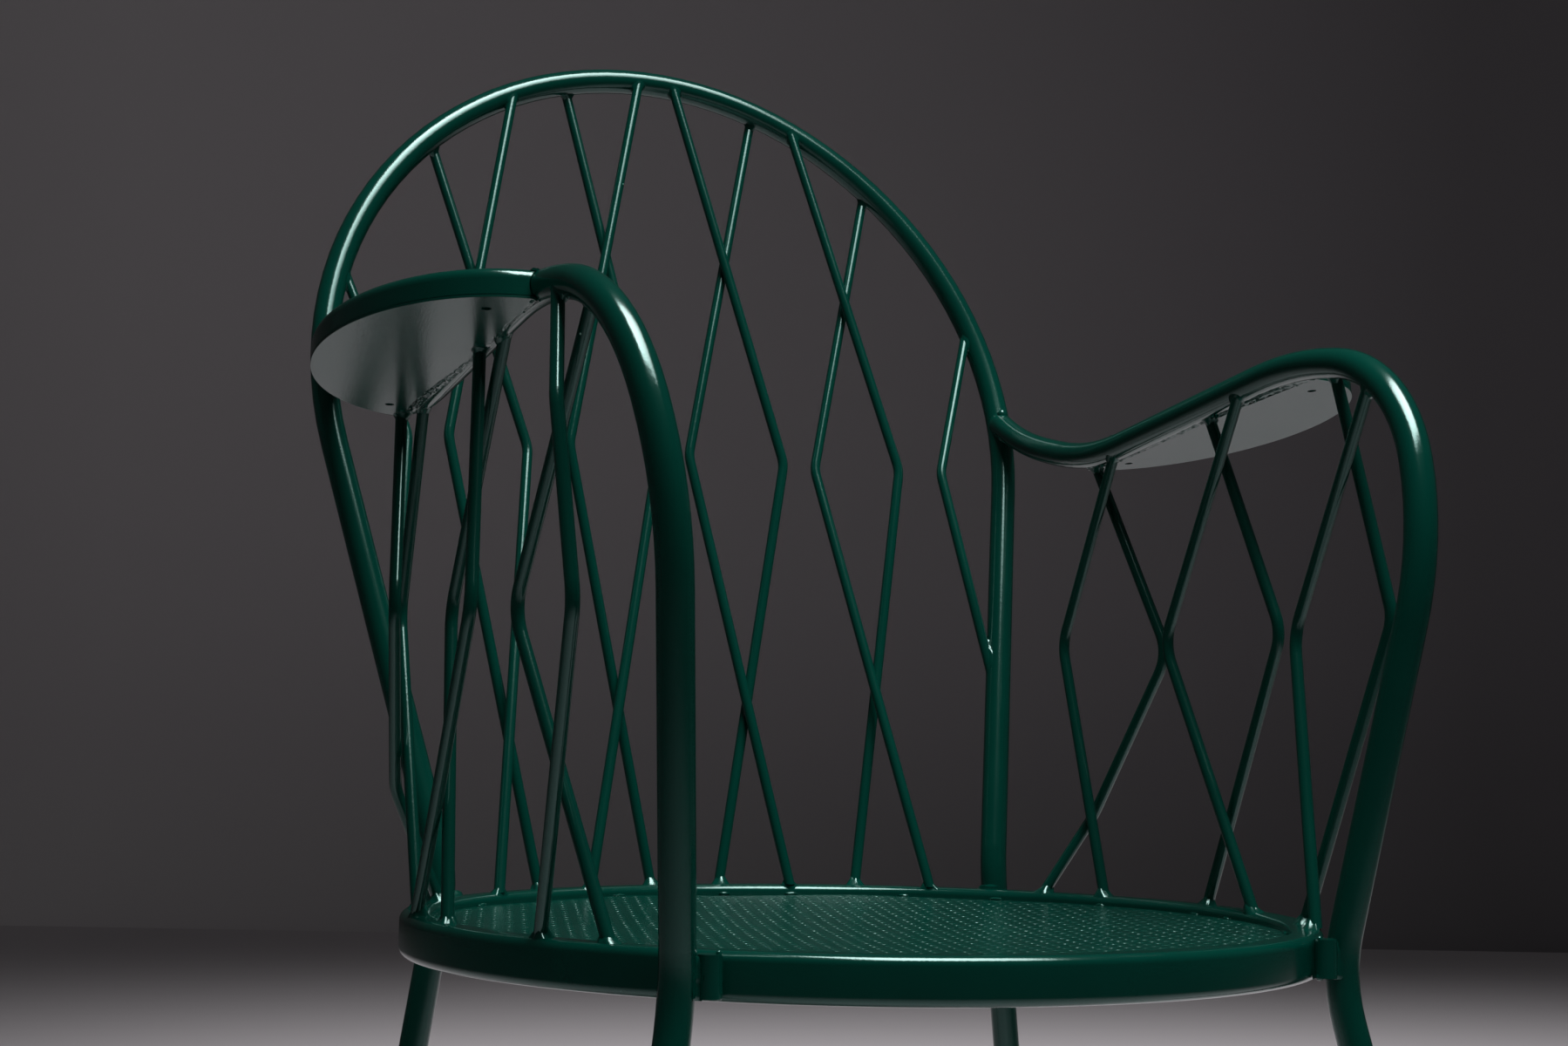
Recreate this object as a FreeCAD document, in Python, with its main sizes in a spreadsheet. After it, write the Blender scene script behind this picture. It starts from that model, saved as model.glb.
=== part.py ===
import FreeCAD, Part
import math
import os

import Sketcher

# A welded tubular garden armchair. The back is one tube bent to a hoop whose
# ends run on as the rear legs. Two more tubes start on the hoop, make the
# arms, and turn down into the front legs. A round seat ring joins the legs,
# and bent rods that cross in pairs fill the back and the sides.

V = FreeCAD.Vector
os.makedirs("parts", exist_ok=True)
doc = FreeCAD.newDocument("garden_armchair")

# Driving sizes in millimetres and degrees. Names that end in side, back and
# up are distances from the middle of the seat ring's top: to the sitter's
# left, to the rear and upwards.
sizes = doc.addObject("Spreadsheet::Sheet", "Sizes")
SIZE_LIST = (
    ("seat_high", 430.0),
    ("seat_forward", 43.2),
    ("fit_gap", 0.3),
    ("tube_dia", 15.0),
    ("tube_wall", 1.5),
    ("rod_dia", 6.0),
    ("rod_bend", 22.0),
    ("ring_rad", 220.0),
    ("ring_wide", 15.0),
    ("ring_tall", 20.0),
    ("ring_round", 4.0),
    ("sheet_thick", 1.2),
    ("sheet_drop", 5.0),
    ("sheet_sag", 4.0),
    ("sheet_hem", 8.0),
    ("mesh_row", 32.4),
    ("mesh_step", 41.4),
    ("mesh_hole", 16.5),
    ("mesh_turn", 78.0),
    ("hoop_reach", 528.7),
    ("hoop_base_back", 154.9),
    ("hoop_rake", 18.34),
    ("crown_rad", 205.0),
    ("crown_turn", 30.8),
    ("flank_rad", 231.0),
    ("hoop_taper", 11.27),
    ("rear_knee_up", 7.9),
    ("rear_knee_rad", 60.0),
    ("rear_splay", 7.8),
    ("rear_kick", 3.95),
    ("arm_joint_up", 280.3),
    ("arm_dip_side", 200.5),
    ("arm_dip_back", 112.4),
    ("arm_dip_up", 248.2),
    ("arm_dip_rad", 196.0),
    ("arm_rise_side", 196.8),
    ("arm_rise_back", -86.7),
    ("arm_rise_up", 275.1),
    ("arm_rise_rad", 213.0),
    ("arm_nose_side", 191.7),
    ("arm_nose_back", -171.3),
    ("arm_nose_up", 260.5),
    ("arm_nose_rad", 90.0),
    ("arm_drop_side", 178.7),
    ("arm_drop_back", -204.1),
    ("arm_drop_up", 176.1),
    ("arm_drop_rad", 134.0),
    ("front_knee_side", 157.6),
    ("front_knee_back", -164.8),
    ("front_knee_up", -18.2),
    ("front_knee_rad", 89.0),
    ("front_splay", 11.0),
    ("front_kick", 9.4),
    ("spacer_dia", 10.0),
    ("spacer_tall", 17.0),
    ("spacer_drop", 0.8),
    ("glide_dia", 22.0),
    ("glide_tall", 9.0),
    ("glide_round", 2.0),
    ("spigot_tall", 14.0),
    ("rest_back", 11.0),
    ("rest_half_long", 106.0),
    ("rest_wide", 72.0),
    ("rest_inset", 3.0),
    ("rest_tall", 14.0),
    ("rest_round", 5.0),
    ("rest_wall", 1.2),
    ("rest_pitch", 6.2),
    ("rest_roll", 1.7),
    ("drain_dia", 4.5),
    ("drain_inset", 18.0),
    ("drain_spread", 85.0),
    ("layer_offset", 4.0),
    ("trim_reach", 400.0),
    ("trim_deep", 60.0),
)
for row, (name, value) in enumerate(SIZE_LIST, 1):
    sizes.set("A%d" % row, name)
    sizes.set("B%d" % row, str(value))
    sizes.setAlias("B%d" % row, name)

# Back rods, counted from the middle outwards: angle and radius of the foot on
# the seat ring, the bend's place, how far out the head sits on the hoop, and
# whether the head is in the front or the rear layer. The rods are bent by
# hand, so the two sides differ by a few millimetres.
BACK_RODS = (
    ("1", "left", 4.1, 217.0, (70.1, 257.4, 253.4), 12.8, -1),
    ("2", "left", 14.9, 207.5, (10.2, 265.5, 255.6), 70.4, 1),
    ("3", "left", 25.4, 216.5, (145.0, 247.5, 253.3), 93.0, -1),
    ("4", "left", 37.4, 208.5, (91.9, 259.0, 251.5), 146.0, 1),
    ("1", "right", 7.2, 217.0, (69.2, 257.0, 256.1), 9.2, -1),
    ("2", "right", 19.7, 207.5, (10.5, 265.5, 250.2), 57.8, 1),
    ("3", "right", 28.0, 216.5, (145.4, 247.5, 254.5), 94.2, -1),
    ("4", "right", 39.6, 208.5, (94.2, 259.0, 251.9), 147.4, 1),
)
# The outermost back rod ends on the hoop at both ends.
SHORT_ROD = ("5", 111.0, (170.9, 240.5, 252.3), 354.5)

# Arm rods, counted from the rear: foot angle and radius, the bends' places,
# how far back the head sits on the arm tube, and its step to the outside.
ARM_RODS = (
    ("1", "left", 55.8, 212.5, ((203.0, 110.4, 43.7), (218.0, 57.8, 134.8)), 116.6, 3.0),
    ("2", "left", 66.4, 211.5, ((197.5, 136.3, 141.9),), 80.2, -1.5),
    ("3", "left", 86.1, 214.5, ((213.0, -51.8, 142.1),), -3.0, 3.0),
    ("4", "left", 99.4, 210.5, ((198.5, 31.9, 139.0),), -44.5, -3.0),
    ("5", "left", 119.7, 213.5, ((203.0, -150.5, 144.5),), -113.2, 3.5),
    ("6", "left", 127.1, 216.5, ((197.5, -83.3, 139.2),), -154.7, -3.5),
    ("1", "right", 56.7, 212.5, ((203.0, 111.4, 55.4), (218.0, 64.7, 144.9)), 118.0, 3.0),
    ("2", "right", 72.0, 212.0, ((197.5, 134.5, 144.1),), 95.2, -1.5),
    ("3", "right", 84.2, 214.5, ((213.0, -51.1, 138.3),), -10.3, 3.0),
    ("4", "right", 94.9, 210.5, ((198.5, 33.6, 140.6),), -32.3, -3.0),
    ("5", "right", 116.3, 213.5, ((203.0, -160.5, 135.1), (206.0, -141.1, 217.4)), -115.9, 3.5),
    ("6", "right", 126.0, 213.0, ((197.5, -64.0, 136.2),), -138.8, -3.5),
)

doc.recompute()


def size(name):
    return float(sizes.get(name))


# Every shape below is placed from the middle of the seat ring's top.
SEAT_MIDDLE = V(0.0, -size("seat_forward"), size("seat_high"))
TUBE_RAD = size("tube_dia") / 2.0
made = []


def from_seat(side, back, up):
    return SEAT_MIDDLE + V(side, back, up)


def bent_edges(corners, bends):
    """Straight runs between corners, each corner rounded by a tangent arc."""
    edges = []
    start = corners[0]
    for before, corner, after, bend in zip(corners, corners[1:], corners[2:], bends):
        back_way = (before - corner).normalize()
        on_way = (after - corner).normalize()
        half = back_way.getAngle(on_way) / 2.0
        reach = bend / math.tan(half)
        middle_way = (back_way + on_way).normalize()
        arc_start = corner + back_way * reach
        arc_end = corner + on_way * reach
        arc_middle = corner + middle_way * (bend / math.sin(half) - bend)
        edges.append(Part.LineSegment(start, arc_start).toShape())
        edges.append(Part.Arc(arc_start, arc_middle, arc_end).toShape())
        start = arc_end
    edges.append(Part.LineSegment(start, corners[-1]).toShape())
    return edges


def point_at(edges, axis, value):
    """The first point along the edges whose coordinate has the value."""
    points = []
    for edge in edges:
        points.extend(edge.discretize(80))
    for here, there in zip(points, points[1:]):
        low = here[axis] - value
        high = there[axis] - value
        if low * high <= 0 and abs(low - high) > 1e-9:
            return here + (there - here) * (low / (low - high))
    raise ValueError("the path never reaches %s" % value)


def add_path(name, edges):
    path = doc.addObject("Part::Feature", name + "_path")
    path.Shape = Part.Wire(edges)
    return path


def round_sweep(name, path, radius):
    """A round section whose radius follows the sheet, swept along a path."""
    edges = path.Shape.Edges
    first = edges[0]
    start = first.valueAt(first.FirstParameter)
    way = first.tangentAt(first.FirstParameter)
    section = doc.addObject("Part::Circle", name + "_section")
    section.setExpression("Radius", radius)
    section.Placement = FreeCAD.Placement(start, FreeCAD.Rotation(V(0, 0, 1), way))
    sweep = doc.addObject("Part::Sweep", name + "_sweep")
    sweep.Sections = [section]
    sweep.Spine = (path, ["Edge%d" % n for n in range(1, len(edges) + 1)])
    sweep.Solid = True
    sweep.Frenet = False
    return sweep


def cut(name, base, tool):
    result = doc.addObject("Part::Cut", name)
    result.Base = base
    result.Tool = tool
    return result


def finish(node, shape_object):
    shape_object.Label = node
    made.append((node, shape_object))
    return shape_object


def mirror(node, source):
    """The same piece on the sitter's other side."""
    copy = doc.addObject("Part::Mirroring", node + "_mirrored")
    copy.Source = source
    copy.Base = V(0, 0, 0)
    copy.Normal = V(1, 0, 0)
    return finish(node, copy)


def plane_of(body, role):
    for feature in body.Origin.OriginFeatures:
        if feature.Role == role:
            return feature
    raise ValueError(role)


def sketch_on(body, name, role):
    sketch = body.newObject("Sketcher::SketchObject", name)
    sketch.AttachmentSupport = [(plane_of(body, role), "")]
    sketch.MapMode = "FlatFace"
    return sketch


def bound(sketch, kind, *rest, formula):
    """A sketch dimension that follows the sheet."""
    number = sketch.addConstraint(Sketcher.Constraint(kind, *rest))
    sketch.setExpression("Constraints[%d]" % number, formula)


def circle_sketch(body, name, formula, role="XY_Plane"):
    sketch = sketch_on(body, name, role)
    sketch.addGeometry(Part.Circle(V(0, 0, 0), V(0, 0, 1), 5.0), False)
    sketch.addConstraint(Sketcher.Constraint("Coincident", 0, 3, -1, 1))
    bound(sketch, "Radius", 0, 5.0, formula=formula)
    return sketch


# The hoop is drawn flat, with the distance up the raked plane as its height.
rake = math.radians(size("hoop_rake"))
turn = math.radians(size("crown_turn"))
end_turn = math.radians(90.0 + size("hoop_taper"))
crown_middle = size("hoop_reach") - size("crown_rad")
flank_side = (size("crown_rad") - size("flank_rad")) * math.sin(turn)
flank_up = crown_middle + (size("crown_rad") - size("flank_rad")) * math.cos(turn)


def on_rake(side, along):
    back = size("hoop_base_back") + along * math.sin(rake)
    return from_seat(side, back, along * math.cos(rake))


def on_crown(angle):
    reach = size("crown_rad")
    return on_rake(reach * math.sin(angle), crown_middle + reach * math.cos(angle))


def on_flank(angle):
    reach = size("flank_rad")
    side = flank_side + reach * math.sin(angle)
    return on_rake(side, flank_up + reach * math.cos(angle))


flank_end = on_flank(end_turn)
knee_along = size("rear_knee_up") / math.cos(rake)
flank_end_along = flank_up + size("flank_rad") * math.cos(end_turn)
taper_run = (flank_end_along - knee_along) * math.tan(math.radians(size("hoop_taper")))
rear_knee = on_rake(flank_end.x - taper_run, knee_along)


def leg_end(knee, splay, kick):
    """Where a leg's line from the knee meets the floor, carried a little on."""
    drop = knee.z + size("glide_tall")
    side = drop * math.tan(math.radians(splay))
    back = drop * math.tan(math.radians(kick))
    return knee + V(side, back, -drop)


rear_foot = leg_end(rear_knee, size("rear_splay"), size("rear_kick"))
right_side = [Part.Arc(on_flank(turn), on_flank((turn + end_turn) / 2), flank_end).toShape()]
right_side += bent_edges((flank_end, rear_knee, rear_foot), (size("rear_knee_rad"),))


def other_side(edges):
    """Edges mirrored to the other side, in the order that runs back again."""
    flipped = []
    for edge in reversed(edges):
        points = [edge.valueAt(edge.FirstParameter), edge.valueAt(edge.LastParameter)]
        middle = edge.valueAt((edge.FirstParameter + edge.LastParameter) / 2)
        end, start = [V(-p.x, p.y, p.z) for p in points]
        if edge.Curve.TypeId == "Part::GeomLine":
            flipped.append(Part.LineSegment(start, end).toShape())
        else:
            flipped.append(Part.Arc(start, V(-middle.x, middle.y, middle.z), end).toShape())
    return flipped


crown = Part.Arc(on_crown(-turn), on_crown(0.0), on_crown(turn)).toShape()
hoop_edges = other_side(right_side) + [crown] + right_side
hoop_path = add_path("hoop", hoop_edges)

# The arm tube starts on the hoop's centre line and ends in the front leg.
arm_joint = point_at(right_side, 2, SEAT_MIDDLE.z + size("arm_joint_up"))


def arm_corner(name):
    return from_seat(size(name + "_side"), size(name + "_back"), size(name + "_up"))


front_knee = arm_corner("front_knee")
front_foot = leg_end(front_knee, size("front_splay"), -size("front_kick"))
arm_names = ("arm_dip", "arm_rise", "arm_nose", "arm_drop", "front_knee")
arm_corners = [arm_joint] + [arm_corner(name) for name in arm_names] + [front_foot]
arm_edges = bent_edges(arm_corners, [size(name + "_rad") for name in arm_names])
arm_path = add_path("arm", arm_edges)


# Blocks and thick copies of the tubes that trim what is welded to them.
def trim_block(name, top):
    """A wide block that cuts away what is below its top."""
    block = doc.addObject("Part::Box", name)
    block.setExpression("Length", "2 * Sizes.trim_reach")
    block.setExpression("Width", "2 * Sizes.trim_reach")
    block.setExpression("Height", "Sizes.trim_deep")
    reach = size("trim_reach")
    block.Placement.Base = V(-reach, -reach, top - size("trim_deep"))
    return block


tube_here = point_at(arm_edges, 1, SEAT_MIDDLE.y + size("rest_back"))
lean = FreeCAD.Rotation(V(1, 0, 0), -size("rest_pitch"))
roll = FreeCAD.Rotation(V(0, 1, 0), -size("rest_roll"))
rest_place = FreeCAD.Placement(tube_here - V(0, 0, TUBE_RAD), lean.multiply(roll))
rest_block = doc.addObject("Part::Box", "rest_block")
rest_block.setExpression("Length", "Sizes.rest_wide + Sizes.tube_dia / 2")
rest_block.setExpression("Width", "2 * (Sizes.rest_half_long + Sizes.rod_dia)")
rest_block.setExpression("Height", "Sizes.rest_tall")
rest_corner = V(-TUBE_RAD, -size("rest_half_long") - size("rod_dia"), -size("fit_gap"))
rest_block.Placement = rest_place.multiply(FreeCAD.Placement(rest_corner, FreeCAD.Rotation()))
floor_block = trim_block("floor_block", size("glide_tall") + size("fit_gap"))
seat_block = trim_block("seat_block", SEAT_MIDDLE.z + size("fit_gap"))
hoop_cope = round_sweep("hoop_cope", hoop_path, "Sizes.tube_dia / 2 + Sizes.fit_gap")
arm_cope = round_sweep("arm_cope", arm_path, "Sizes.tube_dia / 2 + Sizes.fit_gap")

# Hoop with its rear legs, a hollow tube open at both feet.
hoop_bar = round_sweep("hoop", hoop_path, "Sizes.tube_dia / 2")
hoop_bore = round_sweep("hoop_bore", hoop_path, "Sizes.tube_dia / 2 - Sizes.tube_wall")
hoop_tube = cut("hoop_tube", hoop_bar, hoop_bore)
finish("back_hoop", cut("hoop_trimmed", hoop_tube, floor_block))

# Arm tubes with the front legs, coped to the hoop.
arm_bar = round_sweep("arm", arm_path, "Sizes.tube_dia / 2")
arm_bore = round_sweep("arm_bore", arm_path, "Sizes.tube_dia / 2 - Sizes.tube_wall")
arm_hollow = cut("arm_hollow", arm_bar, arm_bore)
arm_coped = cut("arm_coped", arm_hollow, hoop_cope)
arm_left = finish("arm_tube_left", cut("arm_trimmed", arm_coped, floor_block))
mirror("arm_tube_right", arm_left)

# Seat ring, a rectangular tube bent to a circle.


def box_section(body, name, inset):
    """A rectangle with its wall inset, its place and size bound to the sheet."""
    sketch = sketch_on(body, name, "XZ_Plane")
    corners = (V(205, -20, 0), V(220, -20, 0), V(220, 0, 0), V(205, 0, 0))
    for here, there in zip(corners, corners[1:] + corners[:1]):
        sketch.addGeometry(Part.LineSegment(here, there), False)
    for first, second in ((0, 1), (1, 2), (2, 3), (3, 0)):
        sketch.addConstraint(Sketcher.Constraint("Coincident", first, 2, second, 1))
    for line in (0, 2):
        sketch.addConstraint(Sketcher.Constraint("Horizontal", line))
    for line in (1, 3):
        sketch.addConstraint(Sketcher.Constraint("Vertical", line))
    wide = "Sizes.ring_wide - 2 * %s" % inset
    tall = "Sizes.ring_tall - 2 * %s" % inset
    bound(sketch, "DistanceX", -1, 1, 0, 2, 220.0, formula="Sizes.ring_rad - %s" % inset)
    bound(sketch, "DistanceX", 0, 1, 0, 2, 15.0, formula=wide)
    bound(sketch, "DistanceY", 1, 1, 1, 2, 20.0, formula=tall)
    bound(sketch, "DistanceY", 2, 2, -1, 1, 0.1, formula=inset)
    return sketch


def circle_edges(feature):
    """The names of a feature's round edges."""
    names = []
    for number, edge in enumerate(feature.Shape.Edges, 1):
        if edge.Curve.TypeId == "Part::GeomCircle":
            names.append("Edge%d" % number)
    return names


def ring_bar(name, inset):
    """A rounded bar bent to the seat's circle, its faces inset on all sides."""
    body = doc.addObject("PartDesign::Body", name + "_body")
    body.Placement.Base = SEAT_MIDDLE
    section = box_section(body, name + "_section", inset)
    bend = body.newObject("PartDesign::Revolution", name + "_bend")
    bend.Profile = section
    bend.ReferenceAxis = (section, ["V_Axis"])
    bend.Angle = 360
    doc.recompute()
    corners = body.newObject("PartDesign::Fillet", name + "_corners")
    corners.Base = (bend, circle_edges(bend))
    corners.setExpression("Radius", "Sizes.ring_round - %s" % inset)
    return body


ring_core = ring_bar("ring_core", "Sizes.tube_wall")
finish("seat_ring", cut("ring_tube", ring_bar("ring", "0"), ring_core))

# Seat sheet, a shallow dish inside the ring with a plain flat hem.
sheet = doc.addObject("PartDesign::Body", "sheet_body")
sheet.Placement.Base = SEAT_MIDDLE
dish = sketch_on(sheet, "dish_section", "XZ_Plane")
rim = size("ring_rad") - size("ring_wide") - size("fit_gap")
top = -size("sheet_drop")
thick = size("sheet_thick")
hem = rim - size("sheet_hem")
sag = size("sheet_sag")
half_way = hem * 0.5
middle_sag = sag * 0.75
dish.addGeometry(Part.Arc(V(0, top - sag, 0), V(half_way, top - middle_sag, 0), V(hem, top, 0)), False)
dish.addGeometry(Part.LineSegment(V(hem, top, 0), V(rim, top, 0)), False)
dish.addGeometry(Part.LineSegment(V(rim, top, 0), V(rim, top - thick, 0)), False)
dish.addGeometry(Part.LineSegment(V(rim, top - thick, 0), V(hem, top - thick, 0)), False)
low_arc = (V(0, top - sag - thick, 0), V(half_way, top - middle_sag - thick, 0), V(hem, top - thick, 0))
dish.addGeometry(Part.Arc(*low_arc), False)
dish.addGeometry(Part.LineSegment(V(0, top - sag - thick, 0), V(0, top - sag, 0)), False)
spun = sheet.newObject("PartDesign::Revolution", "dish_spin")
spun.Profile = dish
spun.ReferenceAxis = (dish, ["V_Axis"])
spun.Angle = 360
doc.recompute()

# Openings through the dish in staggered rows, coarser than the real ones.
mesh = sketch_on(sheet, "mesh_openings", "XY_Plane")
mesh_turn = math.radians(size("mesh_turn"))
along_row = V(math.cos(mesh_turn), math.sin(mesh_turn), 0)
across_rows = V(-math.sin(mesh_turn), math.cos(mesh_turn), 0)
mesh_reach = hem - size("mesh_hole") / 2
most_rows = int(mesh_reach / size("mesh_row"))
for row in range(-most_rows, most_rows + 1):
    for place in range(-most_rows, most_rows + 1):
        along = (place + 0.5 * (row % 2)) * size("mesh_step")
        centre = along_row * along + across_rows * (row * size("mesh_row"))
        if centre.Length < mesh_reach:
            hole = mesh.addGeometry(Part.Circle(centre, V(0, 0, 1), size("mesh_hole") / 2), False)
            bound(mesh, "Diameter", hole, size("mesh_hole"), formula="Sizes.mesh_hole")
pierced = sheet.newObject("PartDesign::Pocket", "mesh_pocket")
pierced.Profile = mesh
pierced.Type = "ThroughAll"
finish("seat_sheet", sheet)


# Rods between the seat ring and the tubes above.
def rod(node, corners, trims):
    bends = [size("rod_bend")] * (len(corners) - 2)
    path = add_path(node, bent_edges(corners, bends))
    piece = round_sweep(node, path, "Sizes.rod_dia / 2")
    for number, trim in enumerate(trims, 1):
        piece = cut("%s_trim_%d" % (node, number), piece, trim)
    return piece


def place_rod(node, side, piece):
    """Rods are shaped on the left; those of the right side are mirrored."""
    if side == "left":
        return finish(node, piece)
    return mirror(node, piece)


def foot_on_ring(angle, radius, first_bend):
    """The rod's foot, carried on along its own line to below the ring's top."""
    turn_to = math.radians(angle)
    foot = from_seat(radius * math.sin(turn_to), radius * math.cos(turn_to), 0.0)
    way = (foot - first_bend).normalize()
    return foot + way * size("rod_dia")


hoop_back = V(0, math.cos(rake), -math.sin(rake))
for name, side, angle, radius, bend, head_side, layer in BACK_RODS:
    node = "back_rod_%s_%s" % (name, side)
    bend_point = from_seat(*bend)
    head = point_at([crown] + right_side[:1], 0, head_side)
    head = head + hoop_back * (layer * size("layer_offset"))
    foot = foot_on_ring(angle, radius, bend_point)
    place_rod(node, side, rod(node, (foot, bend_point, head), (seat_block, hoop_cope)))

name, low_up, bend, high_up = SHORT_ROD
low_end = point_at(right_side, 2, SEAT_MIDDLE.z + low_up)
high_end = point_at(right_side, 2, SEAT_MIDDLE.z + high_up)
short = rod("back_rod_%s_left" % name, (low_end, from_seat(*bend), high_end), (hoop_cope,))
finish("back_rod_%s_left" % name, short)
mirror("back_rod_%s_right" % name, short)

for name, side, angle, radius, bends_at, head_back, step in ARM_RODS:
    node = "arm_rod_%s_%s" % (name, side)
    points = [from_seat(*bend) for bend in bends_at]
    head = point_at(arm_edges, 1, SEAT_MIDDLE.y + head_back) + V(step, 0, 0)
    foot = foot_on_ring(angle, radius, points[0])
    # The rods of the outer layer end below the armrest's plate.
    trims = (seat_block, rest_block, arm_cope) if step > 0 else (seat_block, arm_cope)
    place_rod(node, side, rod(node, [foot] + points + [head], trims))

# Armrest: a hollow half oval beside the arm tube, closed below by a plate.


def half_oval(sketch, half_long, wide, inset):
    """The outer half of an oval, closed by a straight line along the tube."""
    oval = Part.Ellipse(V(0, half_long, 0), V(-wide, 0, 0), V(0, 0, 0))
    opening = math.asin(inset / wide)
    arc = Part.ArcOfEllipse(oval, math.pi + opening, 2 * math.pi - opening)
    sketch.addGeometry(arc, False)
    sketch.addGeometry(Part.LineSegment(arc.EndPoint, arc.StartPoint), False)
    sketch.addConstraint(Sketcher.Constraint("Coincident", 0, 2, 1, 1))
    sketch.addConstraint(Sketcher.Constraint("Coincident", 1, 2, 0, 1))
    sketch.addConstraint(Sketcher.Constraint("Vertical", 1))


shell = doc.addObject("PartDesign::Body", "shell_body")
shell.Placement = rest_place
outline = sketch_on(shell, "shell_outline", "XY_Plane")
outline.AttachmentOffset = FreeCAD.Placement(V(0, 0, size("rest_wall") + size("fit_gap")), FreeCAD.Rotation())
half_oval(outline, size("rest_half_long"), size("rest_wide"), size("rest_inset"))
block = shell.newObject("PartDesign::Pad", "shell_block")
block.Profile = outline
block.setExpression("Length", "Sizes.rest_tall - Sizes.rest_wall - Sizes.fit_gap")
doc.recompute()
rim_edges = []
for number, edge in enumerate(block.Shape.Edges, 1):
    height = edge.CenterOfMass.z
    curved = edge.Curve.TypeId == "Part::GeomEllipse"
    if curved and height > size("rest_tall") - 1.0:
        rim_edges.append("Edge%d" % number)
soft = shell.newObject("PartDesign::Fillet", "shell_rim")
soft.Base = (block, rim_edges)
soft.setExpression("Radius", "Sizes.rest_round")
doc.recompute()
hollow = sketch_on(shell, "shell_hollow", "XY_Plane")
hollow.AttachmentOffset = FreeCAD.Placement(V(0, 0, size("rest_wall") + size("fit_gap")), FreeCAD.Rotation())
inner_long = size("rest_half_long") - 2 * size("rest_round")
inner_wide = size("rest_wide") - size("rest_round")
half_oval(hollow, inner_long, inner_wide, TUBE_RAD + size("rest_round"))
scoop = shell.newObject("PartDesign::Pocket", "shell_scoop")
scoop.Profile = hollow
scoop.setExpression("Length", "Sizes.rest_tall - 2 * Sizes.rest_wall - Sizes.fit_gap")
scoop.Reversed = True
shell_left = finish("armrest_shell_left", cut("shell_coped", shell, arm_cope))
mirror("armrest_shell_right", shell_left)

plate = doc.addObject("PartDesign::Body", "plate_body")
plate.Placement = rest_place
plate_outline = sketch_on(plate, "plate_outline", "XY_Plane")
half_oval(plate_outline, size("rest_half_long"), size("rest_wide"), size("rest_inset"))
plate_pad = plate.newObject("PartDesign::Pad", "plate_pad")
plate_pad.Profile = plate_outline
plate_pad.setExpression("Length", "Sizes.rest_wall")
drains = sketch_on(plate, "drain_holes", "XY_Plane")
for way in (-1, 1):
    centre = V(size("drain_inset"), way * size("drain_spread"), 0)
    drains.addGeometry(Part.Circle(centre, V(0, 0, 1), size("drain_dia") / 2), False)
for number in (0, 1):
    bound(drains, "Diameter", number, 4.5, formula="Sizes.drain_dia")
drained = plate.newObject("PartDesign::Pocket", "plate_drains")
drained.Profile = drains
drained.Type = "ThroughAll"
drained.Reversed = True
plate_left = finish("armrest_plate_left", cut("plate_coped", plate, arm_cope))
mirror("armrest_plate_right", plate_left)

# Spacers: a short upright bar in the groove between the ring and each front
# leg, on the side of the leg that faces the chair's front.
leg_here = point_at(arm_edges, 2, SEAT_MIDDLE.z - size("ring_tall") / 2) - SEAT_MIDDLE
leg_reach = math.hypot(leg_here.x, leg_here.y)
leg_angle = math.atan2(leg_here.x, leg_here.y)
bar_rad = size("spacer_dia") / 2
bar_reach = size("ring_rad") + bar_rad + size("fit_gap")
apart = bar_rad + TUBE_RAD + size("fit_gap")
turn_off = math.acos((leg_reach**2 + bar_reach**2 - apart**2) / (2 * leg_reach * bar_reach))
bar_angle = leg_angle + turn_off
spacer = doc.addObject("PartDesign::Body", "spacer_body")
base_up = -size("spacer_drop") - size("spacer_tall")
spacer.Placement.Base = from_seat(bar_reach * math.sin(bar_angle), bar_reach * math.cos(bar_angle), base_up)
bar = spacer.newObject("PartDesign::Pad", "spacer_pad")
bar.Profile = circle_sketch(spacer, "spacer_round", "Sizes.spacer_dia / 2")
bar.setExpression("Length", "Sizes.spacer_tall")
spacer_left = finish("leg_spacer_left", cut("spacer_coped", spacer, arm_cope))
mirror("leg_spacer_right", spacer_left)

# Glides: a flat foot with a spigot that plugs each tube's open end.
for node, edges in (("glide_rear", right_side), ("glide_front", arm_edges)):
    at_floor = point_at(edges, 2, size("glide_tall"))
    above = point_at(edges, 2, size("glide_tall") + size("spigot_tall"))
    glide = doc.addObject("PartDesign::Body", node + "_body")
    glide.Placement.Base = V(at_floor.x, at_floor.y, 0)
    disc = glide.newObject("PartDesign::Pad", node + "_disc")
    disc.Profile = circle_sketch(glide, node + "_round", "Sizes.glide_dia / 2")
    disc.setExpression("Length", "Sizes.glide_tall")
    doc.recompute()
    softened = glide.newObject("PartDesign::Fillet", node + "_soft")
    softened.Base = (disc, circle_edges(disc))
    softened.setExpression("Radius", "Sizes.glide_round")
    lean_way = (above - at_floor).normalize()
    plug = doc.addObject("Part::Cylinder", node + "_spigot")
    plug.setExpression("Radius", "Sizes.tube_dia / 2 - Sizes.tube_wall - Sizes.fit_gap")
    plug.setExpression("Height", "Sizes.spigot_tall + Sizes.glide_round")
    turned = FreeCAD.Rotation(V(0, 0, 1), lean_way)
    plug.Placement = FreeCAD.Placement(at_floor - lean_way * size("glide_round"), turned)
    joined = doc.addObject("Part::Fuse", node + "_joined")
    joined.Base = glide
    joined.Tool = plug
    finish(node + "_left", joined)
    mirror(node + "_right", joined)

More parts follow.
